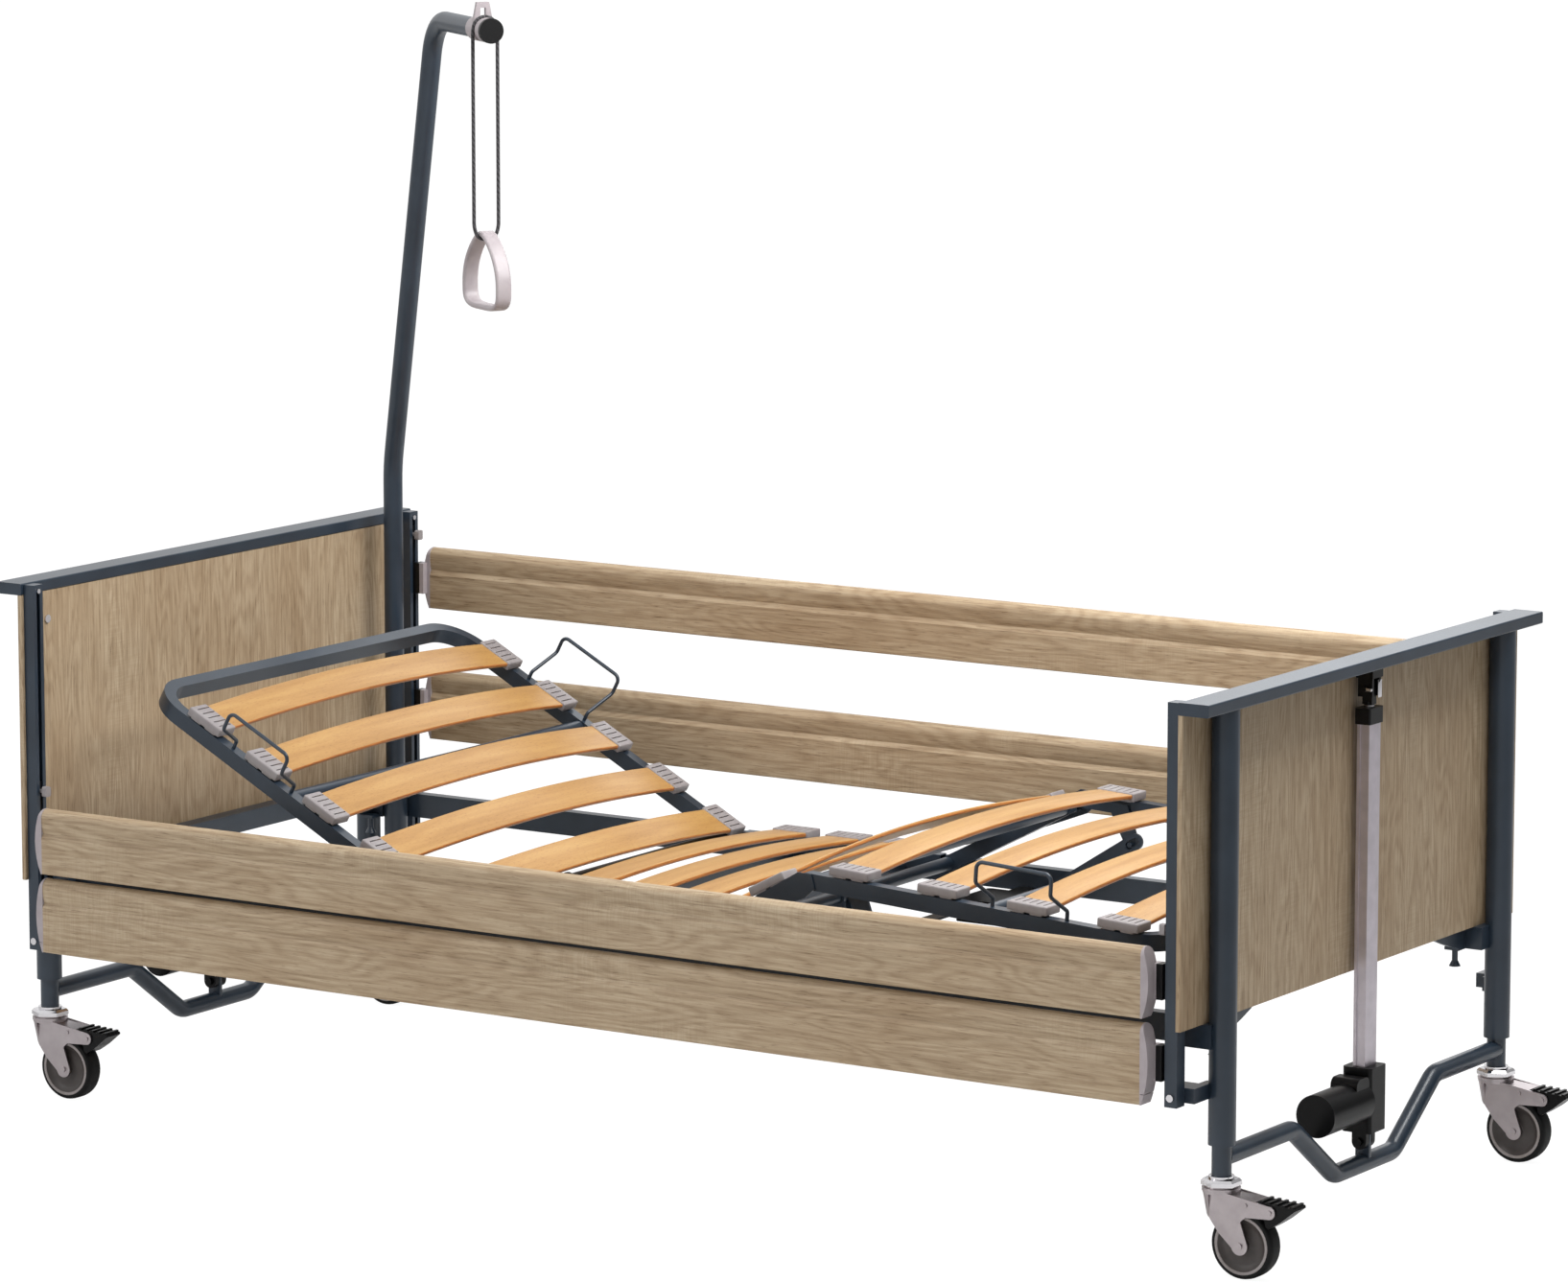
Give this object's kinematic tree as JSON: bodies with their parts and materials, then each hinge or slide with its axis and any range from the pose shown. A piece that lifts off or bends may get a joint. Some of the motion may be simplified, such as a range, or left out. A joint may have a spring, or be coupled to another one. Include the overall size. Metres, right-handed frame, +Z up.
{
  "type": "adjustable care bed",
  "caption": "Height-adjustable slatted care bed on braked casters, with folding back and leg sections, two-board side rails and a trapeze pole with a hanging grip.",
  "frame": {"origin": "floor level, under the middle of the whole bed's bounding box", "axes": "+X from the head end to the foot end, +Y from the side whose rail is stored down to the side whose rail is stored up, +Z up"},
  "size_m": [2.296, 1.072, 1.732],
  "materials": {
    "frame_steel": "anthracite blue-grey satin powder coat",
    "oak": "sawn oak decor laminate",
    "beech": "varnished beech",
    "cap_plastic": "mid-grey moulded plastic",
    "black_plastic": "black moulded plastic",
    "light_plastic": "light grey moulded plastic",
    "profile": "anodised extrusion",
    "zinc": "zinc-plated sheet",
    "chrome": "polished",
    "rod_steel": "ground rod",
    "tyre": "black rubber on a grey wheel body",
    "cord": "dark grey braided cord"
  },
  "bodies": {
    "head_end_base": {"head_undercarriage": "frame_steel", "head_lift_profile": "profile", "head_lift_motor": "black_plastic"},
    "bed_frame": {"end_panels": "oak", "cap_rails": "frame_steel", "columns": "frame_steel", "guide_posts": "frame_steel", "main_frame": "frame_steel", "fasteners": "chrome", "lift_rods": "rod_steel", "seat_slats": "beech", "seat_caps": "cap_plastic", "control_box": "light_plastic", "back_motor": "black_plastic", "leg_motor": "black_plastic"},
    "foot_end_base": {"foot_undercarriage": "frame_steel", "foot_lift_profile": "profile", "foot_lift_motor": "black_plastic"},
    "back_section": {"back_frame": "frame_steel", "back_slats": "beech", "back_caps": "cap_plastic", "back_bows": "frame_steel"},
    "thigh_section": {"thigh_frame": "frame_steel", "thigh_slats": "beech", "thigh_caps": "cap_plastic"},
    "calf_section": {"calf_frame": "frame_steel", "calf_slats": "beech", "calf_caps": "cap_plastic", "calf_bows": "frame_steel"},
    "calf_stays": {"calf_struts": "frame_steel"},
    "back_push_rod": {"back_rod": "rod_steel"},
    "leg_push_rod": {"leg_rod": "rod_steel"},
    "trapeze": {"trapeze_pole": "frame_steel", "arm_clip": "light_plastic"},
    "hanging_cord": {"grip_cord": "cord"},
    "hanging_grip": {"grip_handle": "light_plastic"},
    "near_upper_rail": {"near_upper_board": "oak", "near_upper_ends": "light_plastic"},
    "near_lower_rail": {"near_lower_board": "oak", "near_lower_ends": "light_plastic"},
    "near_head_release": {"near_head_button": "cap_plastic"},
    "near_foot_release": {"near_foot_button": "cap_plastic"},
    "far_upper_rail": {"far_upper_board": "oak", "far_upper_ends": "light_plastic"},
    "far_lower_rail": {"far_lower_board": "oak", "far_lower_ends": "light_plastic"},
    "far_head_release": {"far_head_button": "cap_plastic"},
    "far_foot_release": {"far_foot_button": "cap_plastic"},
    "head_near_swivel_fork": {"head_near_caster_fork": "zinc"},
    "head_near_wheel": {"head_near_caster_wheel": "tyre"},
    "head_near_brake_pedal": {"head_near_caster_pedal": "black_plastic"},
    "head_far_swivel_fork": {"head_far_caster_fork": "zinc"},
    "head_far_wheel": {"head_far_caster_wheel": "tyre"},
    "head_far_brake_pedal": {"head_far_caster_pedal": "black_plastic"},
    "foot_near_swivel_fork": {"foot_near_caster_fork": "zinc"},
    "foot_near_wheel": {"foot_near_caster_wheel": "tyre"},
    "foot_near_brake_pedal": {"foot_near_caster_pedal": "black_plastic"},
    "foot_far_swivel_fork": {"foot_far_caster_fork": "zinc"},
    "foot_far_wheel": {"foot_far_caster_wheel": "tyre"},
    "foot_far_brake_pedal": {"foot_far_caster_pedal": "black_plastic"}
  },
  "joints": [
    {"name": "bed_lift", "type": "slide", "parent": "head_end_base", "child": "bed_frame", "axis": [0, 0, 1], "range_m": [0, 0.4]},
    {"name": "foot_lift", "type": "slide", "parent": "bed_frame", "child": "foot_end_base", "axis": [0, 0, -1], "range_m": [0, 0.4]},
    {"name": "backrest_hinge", "type": "hinge", "parent": "bed_frame", "child": "back_section", "pos_m": [-0.36745, 0, 0.3655], "axis": [0, 1, 0], "range_deg": [-28, 42]},
    {"name": "back_rod_slide", "type": "slide", "parent": "bed_frame", "child": "back_push_rod", "axis": [-1, 0, 0], "range_m": [-0.0445, 0.0662]},
    {"name": "thigh_hinge", "type": "hinge", "parent": "bed_frame", "child": "thigh_section", "pos_m": [0.05725, 0, 0.3655], "axis": [0, -1, 0], "range_deg": [-27.5, 6.5]},
    {"name": "knee_hinge", "type": "hinge", "parent": "thigh_section", "child": "calf_section", "pos_m": [0.30295, 0, 0.4934], "axis": [0, -1, 0], "range_deg": [-7.5, 31.2]},
    {"name": "calf_stay_hinge", "type": "hinge", "parent": "bed_frame", "child": "calf_stays", "pos_m": [0.25075, 0, 0.338], "axis": [0, -1, 0], "range_deg": [-42.5, 10.3]},
    {"name": "leg_rod_slide", "type": "slide", "parent": "bed_frame", "child": "leg_push_rod", "axis": [1, 0, 0], "range_m": [-0.0402, 0.0098]},
    {"name": "near_upper_rail_slide", "type": "slide", "parent": "bed_frame", "child": "near_upper_rail", "axis": [0, 0, 1], "range_m": [0, 0.289]},
    {"name": "near_lower_rail_slide", "type": "slide", "parent": "bed_frame", "child": "near_lower_rail", "axis": [0, 0, 1], "range_m": [0, 0.19]},
    {"name": "near_head_release_press", "type": "slide", "parent": "near_upper_rail", "child": "near_head_release", "axis": [-1, 0, 0], "range_m": [0, 0.004], "stiffness_N_per_m": 600},
    {"name": "near_foot_release_press", "type": "slide", "parent": "near_upper_rail", "child": "near_foot_release", "axis": [1, 0, 0], "range_m": [0, 0.004], "stiffness_N_per_m": 600},
    {"name": "far_upper_rail_slide", "type": "slide", "parent": "bed_frame", "child": "far_upper_rail", "axis": [0, 0, 1], "range_m": [-0.289, 0]},
    {"name": "far_lower_rail_slide", "type": "slide", "parent": "bed_frame", "child": "far_lower_rail", "axis": [0, 0, 1], "range_m": [-0.19, 0]},
    {"name": "far_head_release_press", "type": "slide", "parent": "far_upper_rail", "child": "far_head_release", "axis": [-1, 0, 0], "range_m": [0, 0.004], "stiffness_N_per_m": 600},
    {"name": "far_foot_release_press", "type": "slide", "parent": "far_upper_rail", "child": "far_foot_release", "axis": [1, 0, 0], "range_m": [0, 0.004], "stiffness_N_per_m": 600},
    {"name": "trapeze_swivel", "type": "hinge", "parent": "bed_frame", "child": "trapeze", "pos_m": [-1.03425, 0.394, 0], "axis": [0, 0, 1], "range_deg": [-40, 60]},
    {"name": "cord_swing", "type": "hinge", "parent": "trapeze", "child": "hanging_cord", "pos_m": [-0.60765, 0.06784, 1.689], "axis": [0.7944, -0.6074, 0], "range_deg": [-20, 20]},
    {"name": "grip_tilt", "type": "hinge", "parent": "hanging_cord", "child": "hanging_grip", "pos_m": [-0.60765, 0.06784, 1.357], "axis": [0.6074, 0.7944, 0], "range_deg": [-20, 20]},
    {"name": "head_near_swivel", "type": "hinge", "parent": "head_end_base", "child": "head_near_swivel_fork", "pos_m": [-1.11725, -0.4294, 0.128], "axis": [0, 0, 1], "continuous": true},
    {"name": "head_near_wheel_spin", "type": "hinge", "parent": "head_near_swivel_fork", "child": "head_near_wheel", "pos_m": [-1.07625, -0.4294, 0.05], "axis": [0, 1, 0], "continuous": true},
    {"name": "head_near_brake", "type": "hinge", "parent": "head_near_swivel_fork", "child": "head_near_brake_pedal", "pos_m": [-1.02875, -0.4294, 0.1047], "axis": [0, 1, 0], "range_deg": [0, 7]},
    {"name": "head_far_swivel", "type": "hinge", "parent": "head_end_base", "child": "head_far_swivel_fork", "pos_m": [-1.11725, 0.4294, 0.128], "axis": [0, 0, 1], "continuous": true},
    {"name": "head_far_wheel_spin", "type": "hinge", "parent": "head_far_swivel_fork", "child": "head_far_wheel", "pos_m": [-1.07625, 0.4294, 0.05], "axis": [0, 1, 0], "continuous": true},
    {"name": "head_far_brake", "type": "hinge", "parent": "head_far_swivel_fork", "child": "head_far_brake_pedal", "pos_m": [-1.02875, 0.4294, 0.1047], "axis": [0, 1, 0], "range_deg": [0, 7]},
    {"name": "foot_near_swivel", "type": "hinge", "parent": "foot_end_base", "child": "foot_near_swivel_fork", "pos_m": [1.01875, -0.4294, 0.128], "axis": [0, 0, 1], "continuous": true},
    {"name": "foot_near_wheel_spin", "type": "hinge", "parent": "foot_near_swivel_fork", "child": "foot_near_wheel", "pos_m": [1.05975, -0.4294, 0.05], "axis": [0, 1, 0], "continuous": true},
    {"name": "foot_near_brake", "type": "hinge", "parent": "foot_near_swivel_fork", "child": "foot_near_brake_pedal", "pos_m": [1.10725, -0.4294, 0.1047], "axis": [0, 1, 0], "range_deg": [0, 7]},
    {"name": "foot_far_swivel", "type": "hinge", "parent": "foot_end_base", "child": "foot_far_swivel_fork", "pos_m": [1.01875, 0.4294, 0.128], "axis": [0, 0, 1], "continuous": true},
    {"name": "foot_far_wheel_spin", "type": "hinge", "parent": "foot_far_swivel_fork", "child": "foot_far_wheel", "pos_m": [1.05975, 0.4294, 0.05], "axis": [0, 1, 0], "continuous": true},
    {"name": "foot_far_brake", "type": "hinge", "parent": "foot_far_swivel_fork", "child": "foot_far_brake_pedal", "pos_m": [1.10725, 0.4294, 0.1047], "axis": [0, 1, 0], "range_deg": [0, 7]}
  ],
  "couplings": [
    {"joint": "foot_lift", "follows": "bed_lift", "ratio": 1},
    {"joint": "back_rod_slide", "follows": "backrest_hinge", "m_per_rad": 0.0888},
    {"joint": "knee_hinge", "follows": "thigh_hinge", "ratio": -1.124},
    {"joint": "calf_stay_hinge", "follows": "thigh_hinge", "ratio": 1.52},
    {"joint": "leg_rod_slide", "follows": "thigh_hinge", "m_per_rad": 0.0825},
    {"joint": "near_lower_rail_slide", "follows": "near_upper_rail_slide", "ratio": 0.657},
    {"joint": "far_lower_rail_slide", "follows": "far_upper_rail_slide", "ratio": 0.657}
  ]
}
